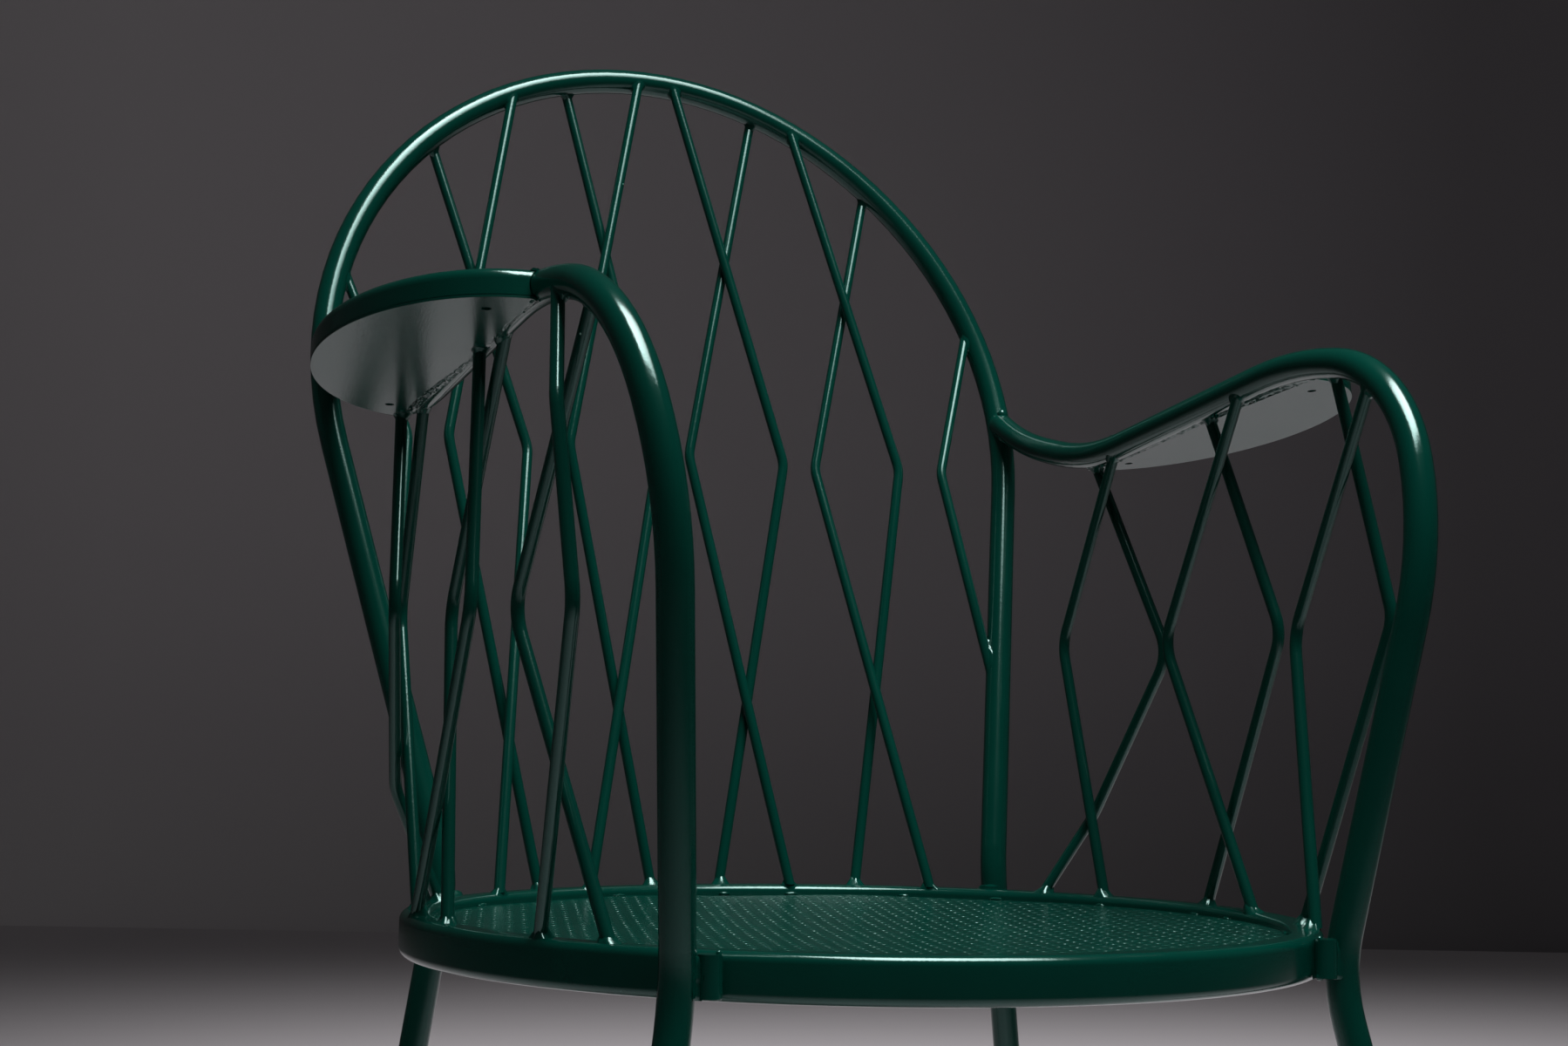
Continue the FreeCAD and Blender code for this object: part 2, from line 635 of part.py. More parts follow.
doc.recompute()
for item in doc.Objects:
    bad = [state for state in item.State if state in ("Invalid", "Error")]
    if bad:
        raise RuntimeError("%s did not build: %s" % (item.Name, bad))
for node, item in made:
    if item.Shape.isNull() or not item.Shape.isValid():
        raise RuntimeError("%s has no valid shape" % node)
    if len(item.Shape.Solids) != 1:
        raise RuntimeError("%s has %d solids" % (node, len(item.Shape.Solids)))
    item.Shape.exportStep("parts/%s.step" % node)
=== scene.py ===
"""Looks for a welded garden armchair: enamel, weld beads, perforated seat and studio.

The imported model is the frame. Its hoop, rods and armrests are shown as they
are. The arm tubes are bent to a sag before the hoop, the seat ring is turned
in finer steps, the seat sheet gets its small holes, and weld beads, paint and
the stage are added. Everything is in metres in the frame's own axes: +Z up,
the chair faces -Y, +X is the sitter's left.
"""

import math

import bpy
import bmesh
import numpy as np
from bpy.props import FloatProperty, FloatVectorProperty, IntProperty
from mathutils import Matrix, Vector
from mathutils.geometry import delaunay_2d_cdt


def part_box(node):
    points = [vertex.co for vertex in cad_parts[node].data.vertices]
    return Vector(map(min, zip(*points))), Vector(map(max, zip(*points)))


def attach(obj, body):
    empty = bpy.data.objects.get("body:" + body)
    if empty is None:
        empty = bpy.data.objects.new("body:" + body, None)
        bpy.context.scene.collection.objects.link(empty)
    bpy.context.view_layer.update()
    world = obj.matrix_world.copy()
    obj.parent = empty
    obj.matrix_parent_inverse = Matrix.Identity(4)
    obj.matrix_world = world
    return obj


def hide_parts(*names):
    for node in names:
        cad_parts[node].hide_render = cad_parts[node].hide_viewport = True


bl_info = {
    "name": "Garden Armchair",
    "version": (1, 0, 0),
    "blender": (4, 5, 0),
    "location": "3D View > Sidebar > Armchair",
    "description": "Builds the finish, welds and seat of a welded garden armchair",
    "category": "Object",
}

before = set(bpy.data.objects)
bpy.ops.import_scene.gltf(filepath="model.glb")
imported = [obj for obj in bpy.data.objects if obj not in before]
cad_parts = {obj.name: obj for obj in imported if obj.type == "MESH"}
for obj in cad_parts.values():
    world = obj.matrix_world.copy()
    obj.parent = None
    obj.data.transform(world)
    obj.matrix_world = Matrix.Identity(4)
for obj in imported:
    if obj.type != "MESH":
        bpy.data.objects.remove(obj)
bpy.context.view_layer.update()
SHEET_LOW, SHEET_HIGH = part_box("seat_sheet")
RING_LOW, RING_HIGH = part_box("seat_ring")
SEAT_MIDDLE = (RING_LOW + RING_HIGH) / 2
SHEET_RADIUS = (SHEET_HIGH.x - SHEET_LOW.x) / 2
RING_RADIUS = (RING_HIGH.x - RING_LOW.x) / 2
UP = np.array([0.0, 0.0, 1.0])
FIT_GAP = 0.0003  # between the sheet's rim and the ring's inner wall
SAME_PLACE = 1e-6  # corners nearer than this are joined

# The photograph's viewpoint: its angles in degrees, its lens on a frame 36 mm
# wide, and its place from the middle of the seat ring's top.
CAMERA_YAW = 23.89
CAMERA_PITCH = 5.83
CAMERA_ROLL = 1.0
CAMERA_LENS = 50.07
CAMERA_PLACE = (-0.4714, -0.9671, 0.0801)


def linear(hex_colour):
    """An sRGB hex colour as linear red, green, blue and alpha."""
    parts = [int(hex_colour[i : i + 2], 16) / 255 for i in (1, 3, 5)]
    light = [p / 12.92 if p <= 0.04045 else ((p + 0.055) / 1.055) ** 2.4 for p in parts]
    return (*light, 1.0)


def length(name, description, default):
    return FloatProperty(name=name, description=description, default=default, unit="LENGTH", precision=5)


def angle(name, description, degrees):
    return FloatProperty(name=name, description=description, default=math.radians(degrees), subtype="ANGLE")


def power(name, description, watts):
    return FloatProperty(name=name, description=description, default=watts, unit="POWER")


def location(name, description, default):
    return FloatVectorProperty(name=name, description=description, default=default, subtype="TRANSLATION")


def colour(name, description, hex_colour):
    return FloatVectorProperty(
        name=name,
        description=description,
        subtype="COLOR",
        size=4,
        min=0.0,
        max=1.0,
        default=linear(hex_colour),
    )


class EnamelSettings(bpy.types.PropertyGroup):
    body: colour("Enamel", "Colour of the enamel where light falls on it", "#003027")
    shade: colour("Thick Enamel", "Colour of the enamel where the coat is thicker and darker", "#002720")
    speck: colour("Specks", "Colour of the dust specks in the coat", "#7FA598")
    glint: colour("Gloss Tint", "Tint of what the coat mirrors when seen face on", "#D2FFF8")
    peel: length("Orange Peel", "Width of the soft ripples in the sprayed coat", 0.0010)


class ArmSettings(bpy.types.PropertyGroup):
    joint_height: length("Joint Height", "Height of an arm tube's joint on the hoop", 0.710)
    rise: length("Rise", "How far the joint is raised along the hoop", 0.0080)
    bow: length("Bow", "How strongly the stretch bows down on its way there", 0.0160)
    rise_from: length("Rise Start", "Depth at which the arm starts to rise, its lowest place", 0.082)
    rise_reach: length("Rise Reach", "Way from there to the hoop", 0.114)


class SeatSettings(bpy.types.PropertyGroup):
    row_step: length("Row Step", "Distance between two rows of holes", 0.0070)
    hole_step: length("Hole Step", "Distance between two holes of a row", 0.0109)
    hole_width: length("Hole Width", "Diameter of a hole", 0.0031)
    row_angle: angle("Row Angle", "Turn of the hole rows from +X", 73.2)
    hem: length("Hem", "Plain border left round the holes", 0.0016)
    flat_rim: length("Flat Rim", "Width of the level border round the dish", 0.008)
    lip_wide: length("Lip Width", "Width of the edge drawn down round each hole", 0.0010)
    lip_deep: length("Lip Depth", "How far that edge is drawn down", 0.0005)
    lip_start: angle("Lip Start", "Turn of the lip's shading where it leaves the top", 26.0)
    lip_end: angle("Lip End", "Turn of the lip's shading where it meets the hole", 50.0)
    thickness: length("Thickness", "Thickness of the painted sheet", 0.0012)
    wave: length("Rim Wave", "How far the rear rim dips in soft waves", 0.0012)
    ring_round: length("Ring Rounding", "Rounding of the seat ring's long edges", 0.0040)


class WeldSettings(bpy.types.PropertyGroup):
    foot_reach: length("Foot Reach", "How far a rod's lower weld spreads over the seat ring", 0.0036)
    foot_climb: length("Foot Climb", "How far that weld climbs the rod", 0.0048)
    head_reach: length("Head Reach", "How far a rod's upper weld spreads over its tube", 0.0026)
    head_climb: length("Head Climb", "How far that weld runs down the rod", 0.0036)
    tube_reach: length("Tube Weld", "Leg of the weld where an arm tube meets the hoop", 0.0024)
    tube_drop: length("Tube Drop", "Radius of the drop on top of that weld", 0.0032)
    ring_reach: length("Ring Weld", "Leg of the weld where the hoop passes the ring's top edge", 0.0034)
    hoop_groove: length("Hoop Groove", "Leg of the weld between the ring's side and the hoop", 0.0055)
    bar_groove: length("Spacer Groove", "Leg of the weld between the ring's side and a leg spacer", 0.0030)
    leg_groove: length("Leg Groove", "Leg of the weld between a leg spacer and its leg", 0.0050)
    crinkle: length("Seam Crinkle", "Height of the crinkles in an armrest's seam", 0.0005)
    tack_count: IntProperty(name="Tacks", description="Number of tacks that hold the seat sheet", default=22)
    seed: IntProperty(name="Seed", description="Number that picks the beads' lumps", default=7)


class StageSettings(bpy.types.PropertyGroup):
    floor: colour("Floor", "Colour of the pale floor", "#D2CCD0")
    wall: colour("Wall", "Colour of the backdrop's lit side", "#E7E2E5")
    wall_shade: colour("Wall Shade", "Colour of the backdrop's dark side", "#8A868A")
    lamp_power: power("Lamp", "Power of the square lamp overhead", 18.8)
    lamp_wide: length("Lamp Width", "Side of the square lamp", 1.1)
    lamp_place: location("Lamp Place", "Where the square lamp hangs", (0.2, -0.55, 2.2))
    lamp_spread: angle("Lamp Spread", "Width of the square lamp's cone of light", 80.0)
    lamp_tilt: angle("Lamp Tilt", "Turn of the square lamp towards the chair", 15.0)
    strip_power: power("Strip", "Power of the strip lamp behind the chair", 16.3)
    strip_long: length("Strip Length", "Length of the strip lamp", 3.4)
    strip_wide: length("Strip Width", "Width of the strip lamp", 0.6)
    strip_place: location("Strip Place", "Its place to the camera's right, ahead and up", (0.65, 2.0, 2.0))
    strip_spread: angle("Strip Spread", "Width of the strip lamp's cone of light", 100.0)
    room: FloatProperty(
        name="Room Light", description="Strength of the even light from all around", default=0.055
    )


def settings():
    return bpy.context.scene.armchair


def node(tree, kind, inputs=None, **properties):
    """Adds a shader node, sets its properties and fills or links its inputs."""
    made = tree.nodes.new(kind)
    for name, value in properties.items():
        setattr(made, name, value)
    for name, value in (inputs or {}).items():
        socket = made.inputs[name]
        if isinstance(value, bpy.types.NodeSocket):
            tree.links.new(value, socket)
        else:
            socket.default_value = value
    return made


def blank_material(name):
    material = bpy.data.materials.new(name)
    material.use_nodes = True
    material.node_tree.nodes.clear()
    return material, material.node_tree


def enamel_paint(name="gloss_green_enamel", matt=0.13, peel_deep=0.00004):
    """Sprayed gloss enamel on steel.

    Gives the eye a deep green with long soft highlights that ripple a little
    with the coat's orange peel, and a few pale dust specks. matt is the
    glossiest place's roughness, and peel_deep the depth of the peel.
    """
    if name in bpy.data.materials:
        return bpy.data.materials[name]
    paint = settings().enamel
    material, tree = blank_material(name)
    place = node(tree, "ShaderNodeTexCoord").outputs["Object"]

    # The coat's thickness drifts in clouds about 55 mm wide.
    coat = node(tree, "ShaderNodeTexNoise", {"Vector": place, "Scale": 18.0, "Detail": 3.0})
    tint = node(
        tree,
        "ShaderNodeMix",
        {"Factor": coat.outputs["Fac"], 6: tuple(paint.shade), 7: tuple(paint.body)},
        data_type="RGBA",
    )

    # Specks under 1 mm lie about 9 mm apart, in patches of about 17 mm.
    dust = node(tree, "ShaderNodeTexVoronoi", {"Vector": place, "Scale": 110.0, "Randomness": 1.0})
    speck = node(tree, "ShaderNodeMath", {0: dust.outputs["Distance"], 1: 0.05}, operation="LESS_THAN")
    sown = node(tree, "ShaderNodeTexNoise", {"Vector": place, "Scale": 60.0, "Detail": 1.0})
    rare = node(tree, "ShaderNodeMath", {0: sown.outputs["Fac"], 1: 0.66}, operation="GREATER_THAN")
    both = node(tree, "ShaderNodeMath", {0: speck.outputs[0], 1: rare.outputs[0]}, operation="MULTIPLY")
    specked = node(
        tree,
        "ShaderNodeMix",
        {"Factor": both.outputs[0], 6: tint.outputs[2], 7: tuple(paint.speck)},
        data_type="RGBA",
    )

    ripple = node(tree, "ShaderNodeTexNoise", {"Vector": place, "Scale": 1.0 / paint.peel, "Detail": 2.0})
    bump = node(tree, "ShaderNodeBump", {"Height": ripple.outputs["Fac"], "Distance": peel_deep})
    gloss = node(
        tree,
        "ShaderNodeMapRange",
        {"Value": coat.outputs["Fac"], "To Min": matt, "To Max": matt + 0.05},
    )
    shader = node(
        tree,
        "ShaderNodeBsdfPrincipled",
        {
            "Base Color": specked.outputs[2],
            "Roughness": gloss.outputs["Result"],
            "Normal": bump.outputs["Normal"],
            "IOR": 1.5,
            "Specular Tint": tuple(paint.glint),
        },
    )
    node(tree, "ShaderNodeOutputMaterial", {"Surface": shader.outputs["BSDF"]})
    return material


def worn_paint():
    """Enamel rubbed by use on the seat sheet: its highlights are broader and ripple more."""
    return enamel_paint("worn_green_enamel", matt=0.18, peel_deep=0.0002)


def thin_paint():
    """Thinly sprayed enamel below the armrests: it shines least."""
    return enamel_paint("thin_green_enamel", matt=0.22, peel_deep=0.00008)


def glide_plastic():
    """Moulded polyethylene, dull black, with faint scuffs from the floor, 2 to 3 mm wide."""
    name = "moulded_black_polyethylene"
    if name in bpy.data.materials:
        return bpy.data.materials[name]
    material, tree = blank_material(name)
    place = node(tree, "ShaderNodeTexCoord").outputs["Object"]
    scuff = node(tree, "ShaderNodeTexNoise", {"Vector": place, "Scale": 420.0, "Detail": 4.0})
    tone = node(
        tree,
        "ShaderNodeMix",
        {"Factor": scuff.outputs["Fac"], 6: linear("#161616"), 7: linear("#2B2A29")},
        data_type="RGBA",
    )
    bump = node(
        tree,
        "ShaderNodeBump",
        {"Height": scuff.outputs["Fac"], "Strength": 0.15, "Distance": 0.0002},
    )
    shader = node(
        tree,
        "ShaderNodeBsdfPrincipled",
        {"Base Color": tone.outputs[2], "Roughness": 0.55, "Normal": bump.outputs["Normal"], "IOR": 1.51},
    )
    node(tree, "ShaderNodeOutputMaterial", {"Surface": shader.outputs["BSDF"]})
    return material


def floor_concrete(stage):
    """Smooth matt concrete: one pale tone that keeps the chair's soft shadow."""
    material, tree = blank_material("matt_floor")
    shader = node(tree, "ShaderNodeBsdfPrincipled", {"Base Color": tuple(stage.floor), "Roughness": 0.7})
    node(tree, "ShaderNodeOutputMaterial", {"Surface": shader.outputs["BSDF"]})
    return material


def backdrop_with_painted_shade(stage, side):
    """Matt paper with painted shade: its colour darkens evenly across the picture.

    The tone follows the distance along the level direction side, from two
    metres before the chair's middle to two behind it. Glossy paint mirrors
    only a share of the tone, so that it stays deep where it faces the paper.
    """
    half_way, mirrored = 2.0, 0.35
    material, tree = blank_material("matt_backdrop")
    place = node(tree, "ShaderNodeTexCoord").outputs["Object"]
    along = node(tree, "ShaderNodeVectorMath", {0: place, 1: tuple(side)}, operation="DOT_PRODUCT")
    share = node(
        tree,
        "ShaderNodeMapRange",
        {"Value": along.outputs["Value"], "From Min": -half_way, "From Max": half_way},
    )
    # Painted shade: the colour goes from the lit side's colour to the dark side's across the picture.
    tone = node(
        tree,
        "ShaderNodeMix",
        {"Factor": share.outputs["Result"], 6: tuple(stage.wall), 7: tuple(stage.wall_shade)},
        data_type="RGBA",
    )
    ray = node(tree, "ShaderNodeLightPath").outputs["Is Glossy Ray"]
    seen = node(tree, "ShaderNodeMapRange", {"Value": ray, "To Min": 1.0, "To Max": mirrored})
    shown = node(
        tree,
        "ShaderNodeVectorMath",
        {0: tone.outputs[2], "Scale": seen.outputs["Result"]},
        operation="SCALE",
    )
    shader = node(
        tree,
        "ShaderNodeBsdfPrincipled",
        {"Base Color": shown.outputs["Vector"], "Roughness": 0.7},
    )
    node(tree, "ShaderNodeOutputMaterial", {"Surface": shader.outputs["BSDF"]})
    return material


def put_mesh(name, points, faces):
    """A smooth mesh object at the origin from points and faces."""
    mesh = bpy.data.meshes.new(name)
    mesh.from_pydata(points, [], faces)
    mesh.shade_smooth()
    mesh.update()
    piece = bpy.data.objects.new(name, mesh)
    bpy.context.scene.collection.objects.link(piece)
    return piece


def dress(piece, material):
    piece.data.materials.clear()
    piece.data.materials.append(material)


def merged(cad_name):
    """A copy of a CAD piece's mesh with its loose triangles joined."""
    bm = bmesh.new()
    bm.from_mesh(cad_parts[cad_name].data)
    bmesh.ops.remove_doubles(bm, verts=bm.verts, dist=SAME_PLACE)
    return bm


def cut_across(bm, spot, way):
    """Cuts a mesh by a plane through a spot, and gives back what lies in the plane."""
    parts = bm.verts[:] + bm.edges[:] + bm.faces[:]
    cut = bmesh.ops.bisect_plane(bm, geom=parts, dist=SAME_PLACE, plane_co=spot, plane_no=way)
    return cut["geom_cut"]


def cad_points(cad_name):
    """The places of a CAD piece's corners, each once."""
    bm = merged(cad_name)
    points = np.array([v.co for v in bm.verts])
    bm.free()
    return points


def tube_section(cad_name, height, outward):
    """Middle and radius of an upright tube's level section on one side of the chair."""
    bm = merged(cad_name)
    cut = cut_across(bm, (0.0, 0.0, height), (0.0, 0.0, 1.0))
    spots = np.array([v.co for v in cut if isinstance(v, bmesh.types.BMVert)])
    bm.free()
    spots = spots[spots[:, 0] * outward > 0.0]
    low, high = spots.min(axis=0), spots.max(axis=0)
    return (low + high) / 2, (high - low)[:2].min() / 2


def sharp_loops(cad_name):
    """The closed lines along which a CAD piece turns a sharp corner.

    Each comes with the direction of the rod or tube behind it, taken from the
    edges that leave the line and end well away from its middle.
    """
    sharp, fewest, well_away = math.radians(30.0), 8, 1.5
    bm = merged(cad_name)
    near = {}
    for edge in bm.edges:
        if len(edge.link_faces) == 2 and edge.calc_face_angle(0.0) > sharp:
            for one, other in (edge.verts, reversed(edge.verts)):
                near.setdefault(one, []).append(other)
    loops = []
    while near:
        here = next(iter(near))
        line = []
        while here is not None:
            line.append(here)
            following = [other for other in near.pop(here) if other in near]
            here = following[0] if following else None
        if len(line) > fewest:
            spots = np.array([v.co for v in line])
            middle = spots.mean(axis=0)
            radius = np.linalg.norm(spots - middle, axis=1).max()
            ends = np.array([e.other_vert(v).co for v in line for e in v.link_edges]) - middle
            behind = ends[np.linalg.norm(ends, axis=1) > well_away * radius]
            if len(behind):
                axis = behind.mean(axis=0)
                loops.append((spots, axis / np.linalg.norm(axis)))
    bm.free()
    return loops


def laid_on(points, cad_names):
    """The places on the named CAD pieces nearest to an array of points."""
    bm = bmesh.new()
    for name in cad_names:
        bm.from_mesh(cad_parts[name].data)
    ground = put_mesh("ground", [], [])
    bm.to_mesh(ground.data)
    bm.free()
    cloud = put_mesh("cloud", points.reshape(-1, 3), [])
    press = cloud.modifiers.new("lay", "SHRINKWRAP")
    press.target = ground
    press.wrap_method = "NEAREST_SURFACEPOINT"
    pressed = cloud.evaluated_get(bpy.context.evaluated_depsgraph_get())
    laid = np.empty(points.size)
    pressed.data.vertices.foreach_get("co", laid)
    for helper in (cloud, ground):
        mesh = helper.data
        bpy.data.objects.remove(helper)
        bpy.data.meshes.remove(mesh)
    return laid.reshape(points.shape)


def ring_faces(count, sides, closed=True):
    """Four-sided faces of a grid closed round its sides, and along it if asked."""
    i = np.arange(count if closed else count - 1)[:, None]
    j = np.arange(sides)[None, :]
    after, beside = (i + 1) % count, (j + 1) % sides
    corners = [i * sides + j, after * sides + j, after * sides + beside, i * sides + beside]
    return np.stack(corners, axis=-1).reshape(-1, 4)


def softened(line):
    """A closed line's values, each the mean of itself, counted twice, and its neighbours."""
    return (np.roll(line, 1, axis=0) + 2 * line + np.roll(line, -1, axis=0)) / 4


def even_loop(points, count):
    """The closed line through the points, cut into equal steps and softened.

    Each new point lies at its share of the line's whole length.
    """
    points = np.vstack([points, points[:1]])
    run = np.concatenate([[0.0], np.cumsum(np.linalg.norm(np.diff(points, axis=0), axis=1))])
    want = np.linspace(0.0, run[-1], count, endpoint=False)
    return softened(np.stack([np.interp(want, run, points[:, axis]) for axis in range(3)], axis=1))


def lumps(count, rng, low=2, high=8):
    """A closed random line between about -1 and 1, a sum of a few waves.

    The waves seldom meet at full height, so their mean is stretched.
    """
    stretch = 1.6
    turn = np.linspace(0.0, 2 * math.pi, count, endpoint=False)
    waves = np.arange(low, high)
    shift = rng.uniform(0.0, 2 * math.pi, len(waves))
    weight = rng.uniform(0.3, 1.0, len(waves)) / waves**0.5
    return (np.sin(np.outer(turn, waves) + shift) * weight).sum(axis=1) / weight.sum() * stretch


def raised(points):
    """Points of an arm tube's first stretch, raised along the hoop.

    The rise is a cubic of the share of the way from the arm's lowest place to
    the hoop: it bows down a little first and ends at its full amount.
    """
    arm = settings().arm
    apart = 0.01
    heights = (arm.joint_height - apart, arm.joint_height + apart)
    lower, upper = (tube_section("back_hoop", height, 1.0)[0] for height in heights)
    way = np.tile((upper - lower) / np.linalg.norm(upper - lower), (len(points), 1))
    way[:, 0] *= np.sign(points[:, 0])
    share = np.clip((points[:, 1:2] - arm.rise_from) / arm.rise_reach, 0.0, 1.0)
    return points + share**2 * ((arm.rise + arm.bow) * share - arm.bow) * way


def raised_arm(side):
    """The arm tube with a sag before the hoop: cut every few millimetres, then raised."""
    name, cut_step = "arm_tube_" + side, 0.006
    bm = merged(name)
    rear = max(v.co.y for v in bm.verts)
    for depth in np.arange(settings().arm.rise_from, rear, cut_step):
        cut_across(bm, (0.0, depth, 0.0), (0.0, 1.0, 0.0))
    bm.verts.index_update()
    faces = [[v.index for v in face.verts] for face in bm.faces]
    points = raised(np.array([v.co for v in bm.verts]))
    bm.free()
    piece = put_mesh("arm_tube_bent_" + side, points, faces)
    piece.data.set_sharp_from_angle(angle=math.radians(35.0))
    dress(piece, enamel_paint())
    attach(piece, "root")
    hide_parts(name)


def fillet(line, low_way, high_way, low_leg, high_leg, depth, carriers, closed):
    """A hollow-faced weld along a line in the corner between two surfaces.

    Its section is a quarter of a superellipse, cos and sin to one power. The
    lower leg is laid on the carrying pieces, the other climbs from there, and
    a corner sunk into the metal closes the section.
    """
    hollow = 2.3
    turn = np.linspace(0.0, math.pi / 2, 7)
    low, high = np.cos(turn) ** hollow, np.sin(turn) ** hollow
    reach = low_leg[:, None] * low - depth * high
    climb = high_leg[:, None] * high - depth * low
    foot = laid_on(line[:, None] + low_way[:, None] * reach[..., None], carriers)
    face = foot + high_way[:, None] * climb[..., None]
    corner = line - depth * (low_way + high_way)
    grid = np.concatenate([face, corner[:, None]], axis=1)
    return grid.reshape(-1, 3), ring_faces(len(line), grid.shape[1], closed)


def collar(line, axis, reach, climb, carriers, rng):
    """The weld round a rod's or tube's end, fuller on the sitter's side.

    Its legs lie in the line's own plane and along the rod. Each is three
    quarters as long as given, and random waves and the sitter's side add to it.
    """
    plain, fuller, lumpy = 0.75, 0.4, 0.25
    line = even_loop(line, 40)
    middle = line.mean(axis=0)
    level = np.linalg.svd(line - middle)[2][2]
    out = line - middle
    out -= (out @ level)[:, None] * level
    out /= np.linalg.norm(out, axis=1)[:, None]
    sitter = np.array(SEAT_MIDDLE) - middle
    sitter[2] = 0.0
    inner = np.clip(out @ (sitter / np.linalg.norm(sitter)), 0.0, 1.0)
    legs = [leg * (plain + fuller * inner + lumpy * lumps(len(line), rng)) for leg in (reach, climb)]
    along = np.tile(axis, (len(line), 1))
    return fillet(line, out, along, *legs, depth=0.0007, carriers=carriers, closed=True)


def drop(middle, axes, rng):
    """A lumpy closed blob of weld metal.

    It is a sphere stretched along its three half axes and pushed about by
    random waves.
    """
    rows, columns, lumpy = 8, 12, 0.2
    tip = np.linspace(0.0, math.pi, rows)[:, None]
    turn = np.linspace(0.0, 2 * math.pi, columns, endpoint=False)[None, :]
    level = np.sin(tip)
    ball = np.stack([level * np.cos(turn), level * np.sin(turn), np.cos(tip) + 0 * turn], axis=-1)
    waves = lumps((rows - 2) * columns, rng, 2, 16).reshape(rows - 2, columns, 1)
    ball[1:-1] *= 1 + lumpy * waves
    points = middle + ball @ axes
    return points.reshape(-1, 3), ring_faces(rows, columns, closed=False)


def weld_piece(name, beads):
    """One object holding the given beads, each a pair of points and faces."""
    starts = np.cumsum([0] + [len(points) for points, _ in beads[:-1]])
    faces = np.vstack([some + start for (_, some), start in zip(beads, starts)])
    piece = put_mesh(name, np.vstack([points for points, _ in beads]), faces)
    bm = bmesh.new()
    bm.from_mesh(piece.data)
    bmesh.ops.remove_doubles(bm, verts=bm.verts, dist=SAME_PLACE)
    bmesh.ops.holes_fill(bm, edges=[edge for edge in bm.edges if edge.is_boundary])
    bmesh.ops.recalc_face_normals(bm, faces=bm.faces)
    bm.to_mesh(piece.data)
    bm.free()
    piece.data.shade_smooth()
    piece.data.set_sharp_from_angle(angle=math.radians(50.0))
    dress(piece, enamel_paint())
    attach(piece, "root")


def rod_welds(rng):
    """Collars round both ends of every rod, those of the back and of the arms apart."""
    weld = settings().weld
    groups = {"back_rod_welds": [], "arm_rod_welds": []}
    for name in sorted(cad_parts):
        if "_rod_" not in name:
            continue
        place, side = name.split("_")[0], name.split("_")[-1]
        rest = [part + side for part in ("arm_tube_", "armrest_plate_", "armrest_shell_")]
        carriers = ["seat_ring"] + (["back_hoop"] if place == "back" else rest)
        for line, axis in sharp_loops(name):
            foot = axis[2] > 0.0
            reach = weld.foot_reach if foot else weld.head_reach
            climb = weld.foot_climb if foot else weld.head_climb
            groups[place + "_rod_welds"].append(collar(line, axis, reach, climb, carriers, rng))
    return groups


def arm_welds(rng):
    """A collar where each arm tube meets the hoop, with a drop on its highest place."""
    weld = settings().weld
    beads = []
    for side in ("left", "right"):
        ends = [end for end in sharp_loops("arm_tube_" + side) if end[0][:, 2].mean() > RING_HIGH.z]
        line, axis = max(ends, key=lambda end: np.ptp(end[0], axis=0).sum())
        line = raised(line)
        beads.append(collar(line, axis, weld.tube_reach, weld.tube_reach, ["back_hoop"], rng))
        beads.append(drop(line[line[:, 2].argmax()], weld.tube_drop * np.eye(3), rng))
    return beads


def level_axes(middle):
    """Unit directions at a place on the ring: away from the seat's middle, and along the ring."""
    out = np.array([middle[0] - SEAT_MIDDLE.x, middle[1] - SEAT_MIDDLE.y, 0.0])
    out /= np.linalg.norm(out)
    return out, np.array([-out[1], out[0], 0.0])


def ring_outline():
    """Middle and radius of the seat ring's outer face in plan."""
    return np.array(SEAT_MIDDLE), RING_RADIUS


def groove_weld(one, other, clear_of, leg, rng):
    """Weld metal in the upright groove between two round outlines that touch.

    Each outline is a middle and a radius in plan. The legs run the same
    length round both, on the side that is turned from the point clear_of. The
    face is a quadratic curve, its middle point three quarters of the way into
    the groove. A superellipse of power 8 rounds in both ends, which stop short
    of the ring's edges.
    """
    sunk, short, end_size, lumpy = 0.001, 0.0015, 0.72, 0.05
    (first_middle, first_radius), (last_middle, last_radius) = one, other
    way = (last_middle - first_middle) * [1.0, 1.0, 0.0]
    way /= np.linalg.norm(way)
    touch = first_middle + first_radius * way
    aside = np.array([-way[1], way[0], 0.0])
    aside *= -np.sign(aside @ (clear_of - touch))
    first_turn, last_turn = leg / first_radius, leg / last_radius
    first = first_middle + first_radius * (math.cos(first_turn) * way + math.sin(first_turn) * aside)
    last = last_middle - last_radius * (math.cos(last_turn) * way - math.sin(last_turn) * aside)
    bend = 0.75 * touch + 0.125 * (first + last)
    share = np.linspace(0.0, 1.0, 8)[:, None]
    curve = (1 - share) ** 2 * first + 2 * share * (1 - share) * bend + share**2 * last
    section = np.vstack([curve, np.stack([last, touch, first]) - sunk * aside]) - touch
    rise = np.linspace(-1.0, 1.0, 17)
    size = end_size + (1 - end_size) * np.sqrt(1 - rise**8)
    size *= 1 + lumpy * lumps(len(rise), rng, 2, 5)
    points = touch + section[None] * size[:, None, None]
    tall = RING_HIGH.z - RING_LOW.z
    points[..., 2] = (RING_HIGH.z + RING_LOW.z) / 2 + (rise * (tall / 2 - short))[:, None]
    return points.reshape(-1, 3), ring_faces(len(rise), len(section), closed=False)


